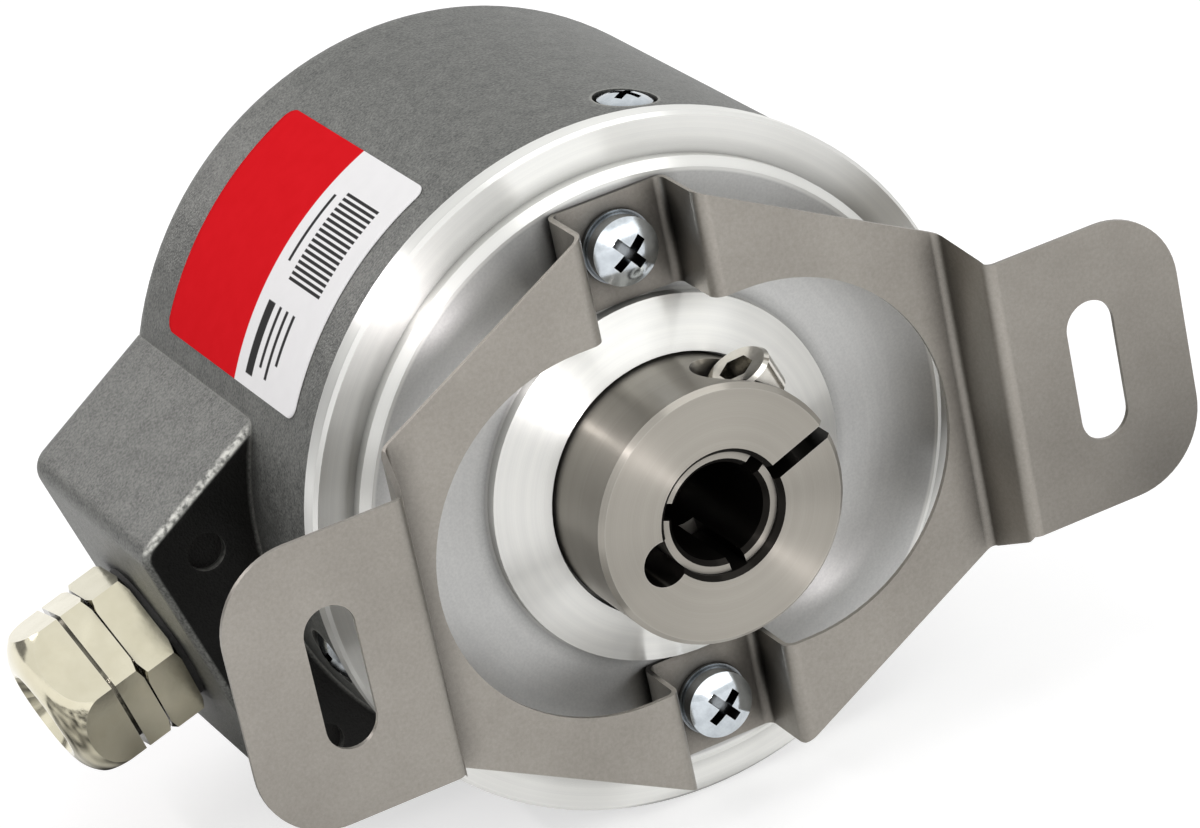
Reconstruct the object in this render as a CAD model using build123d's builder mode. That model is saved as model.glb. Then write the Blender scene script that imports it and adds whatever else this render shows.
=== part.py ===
from build123d import *
from math import cos, radians, sin, sqrt
import os

# Incremental rotary encoder with a blind hollow shaft, a clamping ring and a spring-sheet
# stator coupling. Millimetres. The shaft axis is Y, the clamping end faces -Y and Z is up.
# y = 0 is the front face of the flange's rim.

os.makedirs("parts", exist_ok=True)

# Clearances
seat_clearance = 0.02
running_clearance = 0.05
screw_clearance = 0.05
glass_gap = 0.4
tip_gap = 0.3
overcut = 1.0
same_place = 0.01

# Flange
rim_radius = 29.0
rim_width = 1.95
rim_edge_chamfer = 0.3
rim_shelf = 3.3
register_height = 1.75
register_chamfer = 0.7
collar_wall = 4.2
collar_step = 1.05
collar_nose = 1.7
collar_gap = 0.3
collar_floor_depth = 2.85
web_thickness = 5.5
spigot_length = 8.3
spigot_pocket = 9.1
spigot_clearance = 0.1
bearing_tube_wall = 2.4
bearing_tube_overhang = 2.4

# Cup and its cable boss
cup_inset = 0.3
cup_wall = 2.6
cup_headroom = 2.53
cup_edge_radius = 3.5
cable_angle = 196.4
boss_stand_out = 7.6
boss_root_half_width = 17.3
boss_face_half_width = 13.4
boss_root_inset = 5.8
boss_setback = 11.3
boss_corner_radius = 1.8
boss_front_edge_radius = 0.8
boss_cavity_wall = 2.8
boss_face_wall = 5.6
core_mark_radius = 1.6
core_mark_depth = 0.8
core_mark_setback = 4.8
core_mark_inset = 3.1

# Screws that hold the cup on the flange
housing_screw_count = 3
housing_screw_setback = 4.1
housing_screw_tip_inset = 0.4
spot_face_radius = 2.6
spot_face_depth = 1.3

# Pan-head screws of the coupling, M3
m3_radius = 1.5
pan_head_radius = 2.8
pan_head_height = 2.2
pan_dome_rise = 0.8
cross_recess_length = 3.2
cross_recess_width = 0.8
cross_recess_depth = 1.3
cross_recess_turn = 38.0

# Flange seal in the spigot
flange_seal_section = 1.2
flange_seal_setback = 0.95
seal_groove_side_gap = 0.3

# Stator coupling, one sheet of spring steel
sheet = 0.4
bend_radius = 0.7
ring_plate_rise = 5.85
pad_rise = 5.25
tab_half_width = 5.0
tab_margin = 4.2
ring_side = 1.8
ring_corner_z = 13.7
pad_fold_run = 1.2
pad_end_margin = 8.4
pad_half_height = 11.9
pad_corner_radius = 6.5
window_half_length = 22.6
window_clearance = 0.15
tab_screw_inset = 4.7
coupling_screw_length = 5.0
tab_hole_clearance = 0.2
slot_pitch = 67.0
slot_length = 12.0
slot_width = 4.3
washer_radius = 3.0
washer_thickness = 0.4

# Hollow shaft
shaft_bore_radius = 4.0
shaft_bore_chamfer = 0.4
sleeve_wall = 1.0
sleeve_recess = 0.7
sleeve_slit_count = 3
sleeve_slit_angle = 38.0
sleeve_slit_width = 1.4
shoulder_inset = 0.5
shaft_end_wall = 3.4
shaft_tail = 0.95

# Clamping ring on the sleeve
clamp_back_gap = 1.6
clamp_ring_radius = 10.65
clamp_ring_length = 9.0
clamp_ring_chamfer = 0.4
slit_angle = 20.0
slit_width = 1.3
relief_hole_radius = 1.9
relief_hole_offset = 0.9
clamp_screw_offset = 3.0
clamp_screw_depth = 3.65
clamp_seat = 4.3
clamp_screw_length = 10.0
cap_head_radius = 2.75
cap_head_height = 3.0
cap_socket_width = 2.5
cap_socket_depth = 1.5
cap_pocket_gap = 0.3
cap_head_chamfer = 0.3

# Bearings, thin section, and what spaces and keeps them
bearing_bore_radius = 6.0
bearing_radius = 10.5
bearing_width = 5.0
bearing_spacing = 6.0
spacer_relief = 0.2
outer_spacer_wall = 1.3
land_gap = 1.5
ball_radius = 1.19
ball_count = 10
cage_width = 3.4
cage_thickness = 1.0
shield_thickness = 0.25
circlip_thickness = 1.0
circlip_cover = 0.4
circlip_groove_depth = 0.5
circlip_gap_angle = 40.0
lip_thickness = 1.0

# Shaft seal in the collar
shaft_seal_inset = 0.7
shaft_seal_width = 3.0
shaft_seal_shell = 0.6
shaft_seal_lip = 0.8

# Code disc and its hub
hub_neck_cover = 0.5
hub_neck_length = 2.9
hub_neck_chamfer = 0.6
hub_flange_rim = 3.0
hub_flange_thickness = 1.0
hub_spigot_wall = 1.2
hub_spigot_length = 1.8
disc_margin = 1.6
disc_thickness = 1.0

# Scanning unit: emitter in front of the disc, mask and detector behind it
sensor_angle = 90.0
mask_size = 4.0
mask_thickness = 0.7
detector_width = 7.0
detector_height = 5.0
detector_thickness = 2.4
emitter_width = 8.0
emitter_post_depth = 2.8
emitter_foot_depth = 6.0
emitter_foot_width = 15.2
emitter_foot_thickness = 2.0
emitter_lens_radius = 1.5
emitter_lens_rise = 0.4
emitter_lens_depth = 3.0
emitter_lens_round = 0.35
emitter_screw_offset = 3.8
emitter_gap = 0.1
m2_radius = 1.0
m2_head_radius = 1.9
m2_head_height = 1.3
m2_recess_length = 2.2
m2_length = 5.0
emitter_screw_spacing = 11.2

# Circuit board and what stands on it
board_gap = 1.2
board_thickness = 1.6
board_hole_clearance = 0.2
standoff_count = 3
standoff_angle = 10.0
standoff_inset = 2.8
standoff_width = 4.0
standoff_stud_length = 3.5
m25_radius = 1.25
m25_head_radius = 2.25
m25_head_height = 1.7
m25_recess_length = 2.6
board_screw_length = 4.5
standoff_thread_depth = 5.0
driver_angle = 90.0
driver_reach = 11.0
driver_spacing = 9.0
driver_length = 7.0
driver_width = 4.0
driver_thickness = 1.6
capacitor_angle = 312.0
capacitor_reach = 16.0
capacitor_spacing = 7.0
capacitor_radius = 2.5
capacitor_height = 5.6
capacitor_rim_round = 0.5
terminal_length = 16.0
terminal_depth = 6.0
terminal_height = 6.5
terminal_ways = 5
terminal_funnel_radius = 1.1
terminal_reach = 15.0
terminal_screw_depth = 1.2
terminal_entry_height = 2.4
terminal_entry_width = 2.2
terminal_entry_depth = 2.5

# Cable gland
gland_setback = 13.0
gland_hex_width = 13.0
gland_gasket_thickness = 0.6
gland_gasket_inset = 0.3
gland_body_height = 3.2
gland_thread_radius = 5.0
gland_shank_length = 5.4
gland_spigot_radius = 5.2
gland_spigot_length = 4.2
gland_shank_wall = 1.6
gland_bevel = 0.5
gland_bevel_height = 0.3
gland_hex_turn = 12.0
nut_gap = 0.15
nut_skirt_height = 2.7
nut_groove_width = 0.35
nut_groove_depth = 0.5
nut_dome_height = 4.9
nut_dome_straight = 0.8
nut_dome_bulge = 0.75
nut_face_radius = 4.2
nut_hex_turn = 5.0
nut_mouth_radius = 3.1
nut_mouth_chamfer = 0.8
gland_spigot_wall = 1.0
gland_seal_bore_radius = 2.75
gland_seal_collar = 1.4
gland_seal_rise = 0.7

# Places along the axis, worked out from the sizes above
register_face = -register_height
collar_edge = register_face - collar_step
collar_front = collar_edge - collar_nose
collar_floor = collar_front + collar_floor_depth
clamp_back = collar_floor - clamp_back_gap
clamp_front = clamp_back - clamp_ring_length
sleeve_front = clamp_front + sleeve_recess
seal_back = collar_floor + shaft_seal_width
front_bearing = seal_back + lip_thickness
rear_bearing = front_bearing + bearing_width + bearing_spacing
circlip_front = rear_bearing + bearing_width + running_clearance
tube_back = circlip_front + bearing_tube_overhang
web_back = register_face + web_thickness
spigot_back = rim_width + spigot_length
hub_front = rear_bearing + bearing_width + seat_clearance
hub_flange_front = hub_front + hub_neck_length
disc_front = hub_flange_front + hub_flange_thickness
disc_back = disc_front + disc_thickness
hub_back = disc_front + hub_spigot_length
shaft_circlip_front = hub_back + running_clearance
shaft_back = shaft_circlip_front + circlip_thickness + shaft_tail
mask_front = disc_back + glass_gap
detector_front = mask_front + mask_thickness
board_front = detector_front + detector_thickness
board_back = board_front + board_thickness
cup_front = rim_width
cup_back = board_back + terminal_height + cup_headroom + cup_wall
cup_length = cup_back - cup_front
boss_front = cup_front + boss_setback
gland_y = boss_front + gland_setback
housing_screw_y = cup_front + housing_screw_setback
tab_front = register_face - sheet
ring_plate_front = tab_front - ring_plate_rise
pad_front = ring_plate_front - pad_rise

# Radii and reaches, worked out from the sizes above
sleeve_radius = shaft_bore_radius + sleeve_wall
ring_land = (bearing_radius - bearing_bore_radius - land_gap) / 2
inner_land_radius = bearing_bore_radius + ring_land
outer_land_radius = bearing_radius - ring_land
pitch_radius = (bearing_bore_radius + bearing_radius) / 2
race_radius = ball_radius + running_clearance
shoulder_radius = inner_land_radius - shoulder_inset
shaft_seal_radius = bearing_radius - shaft_seal_inset
tube_radius = bearing_radius + bearing_tube_wall
spigot_bore_radius = tube_radius + spigot_pocket
cup_radius = rim_radius - cup_inset
cup_bore_radius = cup_radius - cup_wall
spigot_radius = cup_bore_radius - spigot_clearance
register_radius = rim_radius - rim_shelf
spot_face_seat = cup_radius - spot_face_depth
housing_screw_length = spot_face_seat - spigot_bore_radius - housing_screw_tip_inset
housing_screw_angles = [cable_angle + 360.0 / housing_screw_count * n for n in range(housing_screw_count)]
boss_reach = cup_radius + boss_stand_out
boss_root_radius = cup_radius - boss_root_inset
core_mark_reach = boss_reach - core_mark_setback
core_mark_offset = boss_face_half_width - core_mark_inset
screw_hole_radius = m3_radius + screw_clearance
housing_hole_radius = m25_radius + screw_clearance
collar_bore_radius = clamp_ring_radius + collar_gap
collar_radius = collar_bore_radius + collar_wall
window_half_width = collar_radius + window_clearance
coupling_screw_radius = window_half_width + tab_screw_inset
coupling_screw_places = [(0, coupling_screw_radius), (0, -coupling_screw_radius)]
tab_reach = coupling_screw_radius + tab_margin
ring_corner_x = window_half_length + ring_side
pad_fold_x = ring_corner_x + pad_fold_run
pad_reach = slot_pitch / 2 + pad_end_margin
relief_hole_reach = sleeve_radius + relief_hole_offset
clamp_screw_reach = sleeve_radius + clamp_screw_offset
hub_neck_radius = inner_land_radius + hub_neck_cover
hub_flange_radius = hub_neck_radius + hub_flange_rim
hub_spigot_radius = bearing_bore_radius + hub_spigot_wall
track_radius = tube_radius + emitter_gap + emitter_post_depth / 2
disc_radius = track_radius + disc_margin
emitter_screw_reach = tube_radius + emitter_screw_offset
emitter_screw_places = [
    (emitter_screw_reach, emitter_screw_spacing / 2),
    (emitter_screw_reach, -emitter_screw_spacing / 2),
]
standoff_pitch_radius = spigot_bore_radius - standoff_inset
board_radius = cup_bore_radius - board_gap
gland_gasket_radius = gland_hex_width / 2 - gland_gasket_inset
gland_throat_radius = gland_thread_radius - gland_shank_wall
gland_seal_radius = gland_spigot_radius - gland_spigot_wall


def across(y, angle=0.0):
    """Plane across the shaft axis at y, facing the front, its X turned by angle towards +Z."""
    turn = radians(angle)
    return Plane(origin=(0, y, 0), x_dir=(cos(turn), 0, sin(turn)), z_dir=(0, -1, 0))


def radial(angle, y, reach=0.0):
    """Plane square to a radius of the body, facing outwards, its X running to the rear."""
    out = Vector(cos(radians(angle)), 0, sin(radians(angle)))
    return Plane(origin=out * reach + Vector(0, y, 0), x_dir=(0, 1, 0), z_dir=out)


def lengthwise(angle, y):
    """Plane that holds the shaft axis and a radius: its Y runs outwards, its X to the rear."""
    turn = radians(angle)
    return Plane(origin=(0, y, 0), x_dir=(0, 1, 0), z_dir=(sin(turn), 0, -cos(turn)))


def rear_facing(y, angle=0.0):
    """Plane across the shaft axis at y, facing the rear, its X turned by angle towards +Z."""
    turn = radians(angle)
    return Plane(origin=(0, y, 0), x_dir=(cos(turn), 0, sin(turn)), z_dir=(0, 1, 0))


def finish(builder, name):
    """Name the sub-part and write it out."""
    builder.part.label = name
    export_step(builder.part, "parts/" + name + ".step")


def pan_head_screw(thread_radius, length, head_radius, head_height, recess_length):
    """Cross-recess screw on Z: the head stands on z = 0 and the shank hangs below it."""
    rise = pan_dome_rise * head_radius / pan_head_radius
    edge = head_height - rise
    dome_radius = (head_radius**2 + rise**2) / (2 * rise)
    half_way = head_radius / 2
    recess_width = cross_recess_width * recess_length / cross_recess_length
    recess_depth = cross_recess_depth * recess_length / cross_recess_length
    with BuildPart() as screw:
        with BuildSketch(Plane.XZ):
            with BuildLine():
                Polyline((0, head_height), (0, -length), (thread_radius, -length))
                Polyline((thread_radius, -length), (thread_radius, 0), (head_radius, 0), (head_radius, edge))
                ThreePointArc(
                    (head_radius, edge),
                    (half_way, head_height - dome_radius + sqrt(dome_radius**2 - half_way**2)),
                    (0, head_height),
                )
            make_face()
        revolve(axis=Axis.Z)
        with BuildSketch(Plane.XY.offset(head_height - recess_depth)):
            Rectangle(recess_length, recess_width, rotation=cross_recess_turn)
            Rectangle(recess_width, recess_length, rotation=cross_recess_turn)
        extrude(amount=head_height, mode=Mode.SUBTRACT)
    return screw.part


def cap_screw():
    """Socket head cap screw on Z: the head stands on z = 0 and the shank hangs below it."""
    with BuildPart() as screw:
        Cylinder(cap_head_radius, cap_head_height, align=(Align.CENTER, Align.CENTER, Align.MIN))
        chamfer(screw.edges().filter_by(GeomType.CIRCLE).group_by(Axis.Z)[-1], cap_head_chamfer)
        Cylinder(m3_radius, clamp_screw_length, align=(Align.CENTER, Align.CENTER, Align.MAX))
        with BuildSketch(Plane.XY.offset(cap_head_height)):
            RegularPolygon(cap_socket_width / 2, 6, major_radius=False)
        extrude(amount=-cap_socket_depth, mode=Mode.SUBTRACT)
    return screw.part


# Rear cup: a die-cast cup with a boss for the cable gland on its flank

with BuildPart() as rear_cup:
    with BuildSketch(across(cup_front)):
        Circle(cup_radius)
    extrude(amount=-cup_length)
    with BuildSketch(across(boss_front, cable_angle)):
        Polygon(
            (0, -boss_root_half_width),
            (boss_root_radius, -boss_root_half_width),
            (boss_reach, -boss_face_half_width),
            (boss_reach, boss_face_half_width),
            (boss_root_radius, boss_root_half_width),
            (0, boss_root_half_width),
            align=None,
        )
    extrude(amount=-(cup_back - boss_front))
    boss_edges = rear_cup.edges().filter_by(Axis.Y).filter_by(
        lambda edge: sqrt(edge.center().X ** 2 + edge.center().Z ** 2) > boss_reach - 1
    )
    fillet(boss_edges, boss_corner_radius)
    back_edges = rear_cup.edges().filter_by_position(Axis.Y, cup_back - same_place, cup_back + same_place)
    fillet(back_edges, cup_edge_radius)
    boss_front_edges = (
        rear_cup.faces()
        .filter_by(Axis.Y)
        .filter_by_position(Axis.Y, boss_front - same_place, boss_front + same_place)
        .edges()
        .filter_by(lambda edge: sqrt(edge.center().X ** 2 + edge.center().Z ** 2) > cup_radius + 0.5)
    )
    fillet(boss_front_edges, boss_front_edge_radius)
    # Cavity of the cup and, behind the gland, of the boss
    with BuildSketch(across(cup_front)):
        Circle(cup_bore_radius)
    extrude(amount=-(cup_length - cup_wall), mode=Mode.SUBTRACT)
    with BuildSketch(across(boss_front + boss_cavity_wall, cable_angle)):
        Rectangle(
            boss_reach - boss_face_wall,
            2 * (boss_face_half_width - boss_cavity_wall),
            align=(Align.MIN, Align.CENTER),
        )
    extrude(amount=-(cup_back - cup_wall - boss_front - boss_cavity_wall), mode=Mode.SUBTRACT)
    # Tapped hole for the gland
    with BuildSketch(radial(cable_angle, gland_y, boss_reach - boss_face_wall - overcut)):
        Circle(gland_thread_radius + screw_clearance)
    extrude(amount=boss_face_wall + 2 * overcut, mode=Mode.SUBTRACT)
    # Round core marks that the casting tool leaves in the boss's front face
    with BuildSketch(across(boss_front, cable_angle)):
        with Locations((core_mark_reach, -core_mark_offset), (core_mark_reach, core_mark_offset)):
            Circle(core_mark_radius)
    extrude(amount=-core_mark_depth, mode=Mode.SUBTRACT)
    # Spot faces and holes for the screws into the flange
    with Locations(*[radial(angle, housing_screw_y, cup_radius) for angle in housing_screw_angles]):
        CounterBoreHole(housing_hole_radius, spot_face_radius, spot_face_depth, cup_wall + overcut)

finish(rear_cup, "rear_cup")

# Front flange: turned from bar, with the register and collar in front, the spigot that the cup
# slides over and the tube that holds both bearings behind

with BuildPart() as front_flange:
    with BuildSketch(Plane.XY):
        with BuildLine():
            Polyline(
                (collar_bore_radius, collar_front),
                (collar_radius, collar_edge),
                (collar_radius, register_face),
                (register_radius - register_chamfer, register_face),
                (register_radius, register_face + register_chamfer),
                (register_radius, 0),
                (rim_radius - rim_edge_chamfer, 0),
                (rim_radius, rim_edge_chamfer),
                (rim_radius, rim_width),
                (spigot_radius, rim_width),
                (spigot_radius, spigot_back),
                (spigot_bore_radius, spigot_back),
                (spigot_bore_radius, web_back),
                (tube_radius, web_back),
                (tube_radius, tube_back),
                (bearing_radius + seat_clearance, tube_back),
                (bearing_radius + seat_clearance, front_bearing),
                (outer_land_radius, front_bearing),
                (outer_land_radius, seal_back),
                (shaft_seal_radius + seat_clearance, seal_back),
                (shaft_seal_radius + seat_clearance, collar_floor),
                (collar_bore_radius, collar_floor),
                close=True,
            )
        make_face()
        # Grooves for the seal ring in the spigot and for the circlip behind the rear bearing
        with Locations((spigot_radius, rim_width + flange_seal_setback)):
            Rectangle(
                2 * flange_seal_section,
                flange_seal_section + seal_groove_side_gap,
                mode=Mode.SUBTRACT,
            )
        with Locations((bearing_radius, circlip_front)):
            Rectangle(
                2 * circlip_groove_depth,
                circlip_thickness + running_clearance,
                align=(Align.CENTER, Align.MIN),
                mode=Mode.SUBTRACT,
            )
    revolve(axis=Axis.Y)
    # Tapped holes: two for the coupling, three in the spigot, and those behind the web
    with Locations(across(register_face)):
        with Locations(*coupling_screw_places):
            Hole(screw_hole_radius, coupling_screw_length)
    for angle in housing_screw_angles:
        with BuildSketch(radial(angle, housing_screw_y, spigot_radius + overcut)):
            Circle(housing_hole_radius)
        extrude(amount=-(spigot_radius - spigot_bore_radius + 2 * overcut), mode=Mode.SUBTRACT)
    with Locations(rear_facing(web_back, standoff_angle)):
        with PolarLocations(standoff_pitch_radius, standoff_count):
            Hole(m25_radius + screw_clearance, standoff_stud_length + tip_gap)
    with Locations(rear_facing(web_back, sensor_angle)):
        with Locations(*emitter_screw_places):
            Hole(m2_radius + screw_clearance, m2_length - emitter_foot_thickness + tip_gap)

finish(front_flange, "front_flange")

# Seal ring between the flange's spigot and the cup

with BuildPart() as flange_o_ring:
    with BuildSketch(Plane.XY):
        with Locations((cup_bore_radius - flange_seal_section / 2, rim_width + flange_seal_setback)):
            Circle(flange_seal_section / 2 - seat_clearance)
    revolve(axis=Axis.Y)

finish(flange_o_ring, "flange_o_ring")

# Three radial screws through the cup into the flange

housing_screw = pan_head_screw(
    m25_radius, housing_screw_length, m25_head_radius, m25_head_height, m25_recess_length
)

with BuildPart() as housing_screws:
    with Locations(*[radial(angle, housing_screw_y, spot_face_seat) for angle in housing_screw_angles]):
        add(housing_screw)

finish(housing_screws, "housing_screws")

# Stator coupling: one spring sheet in three levels. Its section along X runs from the tab on the
# flange up to the ring plate and on to the pad, and the front outline is cut through all of them.

half_sheet = sheet / 2

with BuildPart() as stator_coupling:
    with BuildSketch(Plane.XY):
        with BuildLine():
            fold_line = FilletPolyline(
                (-pad_reach - overcut, pad_front + half_sheet),
                (-pad_fold_x, pad_front + half_sheet),
                (-ring_corner_x, ring_plate_front + half_sheet),
                (-tab_half_width, ring_plate_front + half_sheet),
                (-tab_half_width, tab_front + half_sheet),
                (tab_half_width, tab_front + half_sheet),
                (tab_half_width, ring_plate_front + half_sheet),
                (ring_corner_x, ring_plate_front + half_sheet),
                (pad_fold_x, pad_front + half_sheet),
                (pad_reach + overcut, pad_front + half_sheet),
                radius=bend_radius + half_sheet,
            )
            offset(fold_line, amount=half_sheet, kind=Kind.INTERSECTION)
        make_face()
    extrude(amount=tab_reach + overcut, both=True)
    with BuildSketch(across(pad_front - overcut)):
        with BuildLine():
            Polyline(
                (tab_half_width, -tab_reach),
                (ring_corner_x, -ring_corner_z),
                (pad_fold_x, -pad_half_height),
                (pad_reach, -pad_half_height),
                (pad_reach, pad_half_height),
                (pad_fold_x, pad_half_height),
                (ring_corner_x, ring_corner_z),
                (tab_half_width, tab_reach),
                (-tab_half_width, tab_reach),
                (-ring_corner_x, ring_corner_z),
                (-pad_fold_x, pad_half_height),
                (-pad_reach, pad_half_height),
                (-pad_reach, -pad_half_height),
                (-pad_fold_x, -pad_half_height),
                (-ring_corner_x, -ring_corner_z),
                (-tab_half_width, -tab_reach),
                close=True,
            )
        outline = make_face()
        fillet([v for v in outline.vertices() if abs(abs(v.X) - pad_reach) < same_place], pad_corner_radius)
        SlotCenterToCenter(
            2 * (window_half_length - window_half_width), 2 * window_half_width, mode=Mode.SUBTRACT
        )
        with Locations(*coupling_screw_places):
            Circle(m3_radius + tab_hole_clearance, mode=Mode.SUBTRACT)
        with Locations((slot_pitch / 2, 0), (-slot_pitch / 2, 0)):
            SlotOverall(slot_length, slot_width, rotation=90, mode=Mode.SUBTRACT)
    extrude(amount=-(register_face - pad_front + 2 * overcut), mode=Mode.INTERSECT)

finish(stator_coupling, "stator_coupling")

# Screws and washers that hold the coupling's tabs on the flange

coupling_screw = pan_head_screw(
    m3_radius, coupling_screw_length, pan_head_radius, pan_head_height, cross_recess_length
)

with BuildPart() as coupling_washers:
    with BuildSketch(across(tab_front)):
        with Locations(*coupling_screw_places):
            Circle(washer_radius)
            Circle(screw_hole_radius, mode=Mode.SUBTRACT)
    extrude(amount=washer_thickness)

finish(coupling_washers, "coupling_washers")

with BuildPart() as coupling_screws:
    with Locations(across(tab_front - washer_thickness)):
        with Locations(*coupling_screw_places):
            add(coupling_screw)

finish(coupling_screws, "coupling_screws")

# Hollow shaft: the slit sleeve that the clamping ring closes, a shoulder, and the journal that
# carries both bearings and the disc's hub

with BuildPart() as hollow_shaft:
    with BuildSketch(Plane.XY):
        with BuildLine():
            Polyline(
                (0, shaft_back),
                (0, shaft_back - shaft_end_wall),
                (shaft_bore_radius, shaft_back - shaft_end_wall),
                (shaft_bore_radius, sleeve_front + shaft_bore_chamfer),
                (shaft_bore_radius + shaft_bore_chamfer, sleeve_front),
                (sleeve_radius, sleeve_front),
                (sleeve_radius, clamp_back),
                (shoulder_radius, clamp_back),
                (shoulder_radius, front_bearing),
                (bearing_bore_radius - seat_clearance, front_bearing),
                (bearing_bore_radius - seat_clearance, shaft_back),
                close=True,
            )
        make_face()
        with Locations((bearing_bore_radius, shaft_circlip_front)):
            Rectangle(
                2 * circlip_groove_depth,
                circlip_thickness + running_clearance,
                align=(Align.CENTER, Align.MIN),
                mode=Mode.SUBTRACT,
            )
    revolve(axis=Axis.Y)
    with BuildSketch(across(sleeve_front, sleeve_slit_angle)):
        with PolarLocations(shaft_bore_radius, sleeve_slit_count):
            Rectangle(2 * sleeve_wall + overcut, sleeve_slit_width)
    extrude(amount=-(clamp_back - sleeve_front), mode=Mode.SUBTRACT)

finish(hollow_shaft, "hollow_shaft")

# Clamping ring: slit on one side, relieved by a hole on the other and closed by one cap screw

screw_turn = radians(slit_angle)
slit_direction = Vector(cos(screw_turn), 0, sin(screw_turn))
screw_direction = Vector(-sin(screw_turn), 0, cos(screw_turn))
clamp_screw_seat = Plane(
    origin=slit_direction * clamp_screw_reach
    + screw_direction * clamp_seat
    + Vector(0, clamp_front + clamp_screw_depth, 0),
    x_dir=(0, 1, 0),
    z_dir=screw_direction,
)

with BuildPart() as clamp_ring:
    with BuildSketch(across(clamp_front)):
        Circle(clamp_ring_radius)
        Circle(sleeve_radius + seat_clearance, mode=Mode.SUBTRACT)
    extrude(amount=-clamp_ring_length)
    rim_edges = clamp_ring.edges().filter_by(GeomType.CIRCLE)
    chamfer(rim_edges, clamp_ring_chamfer)
    with BuildSketch(across(clamp_front, slit_angle)):
        with Locations((sleeve_radius / 2, 0)):
            Rectangle(clamp_ring_radius, slit_width, align=(Align.MIN, Align.CENTER))
        with Locations((-relief_hole_reach, 0)):
            Circle(relief_hole_radius)
    extrude(amount=-clamp_ring_length, mode=Mode.SUBTRACT)
    with BuildSketch(clamp_screw_seat):
        Circle(cap_head_radius + cap_pocket_gap)
    extrude(amount=clamp_ring_radius, mode=Mode.SUBTRACT)
    with BuildSketch(clamp_screw_seat):
        Circle(screw_hole_radius)
    extrude(amount=-2 * clamp_ring_radius, mode=Mode.SUBTRACT)

finish(clamp_ring, "clamp_ring")

with BuildPart() as clamp_screw:
    with Locations(clamp_screw_seat):
        add(cap_screw())

finish(clamp_screw, "clamp_screw")

# Two thin-section ball bearings: rings, balls, cages and shields


def bearing_ring(front, inner_radius, outer_radius):
    """One ring of a bearing whose race is the round groove that the balls leave."""
    with BuildPart() as ring:
        with BuildSketch(Plane.XY):
            with Locations((inner_radius, front)):
                Rectangle(outer_radius - inner_radius, bearing_width, align=(Align.MIN, Align.MIN))
            with Locations((pitch_radius, front + bearing_width / 2)):
                Circle(race_radius, mode=Mode.SUBTRACT)
        revolve(axis=Axis.Y)
    return ring.part


def ball_places(front):
    """Plane and centres of a bearing's balls."""
    return Locations(across(front + bearing_width / 2))


with BuildPart() as front_bearing_inner_ring:
    add(bearing_ring(front_bearing, bearing_bore_radius, inner_land_radius))

finish(front_bearing_inner_ring, "front_bearing_inner_ring")

with BuildPart() as front_bearing_outer_ring:
    add(bearing_ring(front_bearing, outer_land_radius, bearing_radius))

finish(front_bearing_outer_ring, "front_bearing_outer_ring")

with BuildPart() as rear_bearing_inner_ring:
    add(bearing_ring(rear_bearing, bearing_bore_radius, inner_land_radius))

finish(rear_bearing_inner_ring, "rear_bearing_inner_ring")

with BuildPart() as rear_bearing_outer_ring:
    add(bearing_ring(rear_bearing, outer_land_radius, bearing_radius))

finish(rear_bearing_outer_ring, "rear_bearing_outer_ring")

with BuildPart() as front_bearing_balls:
    with ball_places(front_bearing):
        with PolarLocations(pitch_radius, ball_count):
            Sphere(ball_radius)

finish(front_bearing_balls, "front_bearing_balls")

with BuildPart() as rear_bearing_balls:
    with ball_places(rear_bearing):
        with PolarLocations(pitch_radius, ball_count):
            Sphere(ball_radius)

finish(rear_bearing_balls, "rear_bearing_balls")


def bearing_cage(front):
    """Cage of a bearing: a ring with a round pocket at each ball."""
    with BuildPart() as cage:
        with BuildSketch(across(front + (bearing_width - cage_width) / 2)):
            Circle(pitch_radius + cage_thickness / 2)
            Circle(pitch_radius - cage_thickness / 2, mode=Mode.SUBTRACT)
        extrude(amount=-cage_width)
        with ball_places(front):
            with PolarLocations(pitch_radius, ball_count):
                Cylinder(race_radius, 2 * cage_thickness, rotation=(0, 90, 0), mode=Mode.SUBTRACT)
    return cage.part


with BuildPart() as front_bearing_cage:
    add(bearing_cage(front_bearing))

finish(front_bearing_cage, "front_bearing_cage")

with BuildPart() as rear_bearing_cage:
    add(bearing_cage(rear_bearing))

finish(rear_bearing_cage, "rear_bearing_cage")

shield_places = [
    front_bearing + shield_thickness,
    front_bearing + bearing_width - shield_thickness,
    rear_bearing + shield_thickness,
    rear_bearing + bearing_width - shield_thickness,
]

with BuildPart() as bearing_shields:
    for y in shield_places:
        with BuildSketch(across(y - shield_thickness / 2)):
            Circle(outer_land_radius - seat_clearance)
            Circle(inner_land_radius + running_clearance, mode=Mode.SUBTRACT)
        extrude(amount=-shield_thickness)

finish(bearing_shields, "bearing_shields")

# Spacers between the bearings and the circlips that keep the stacks together

with BuildPart() as inner_spacer:
    with BuildSketch(across(front_bearing + bearing_width)):
        Circle(inner_land_radius - spacer_relief)
        Circle(bearing_bore_radius, mode=Mode.SUBTRACT)
    extrude(amount=-bearing_spacing)

finish(inner_spacer, "inner_spacer")

with BuildPart() as outer_spacer:
    with BuildSketch(across(front_bearing + bearing_width)):
        Circle(bearing_radius)
        Circle(bearing_radius - outer_spacer_wall, mode=Mode.SUBTRACT)
    extrude(amount=-bearing_spacing)

finish(outer_spacer, "outer_spacer")


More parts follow.
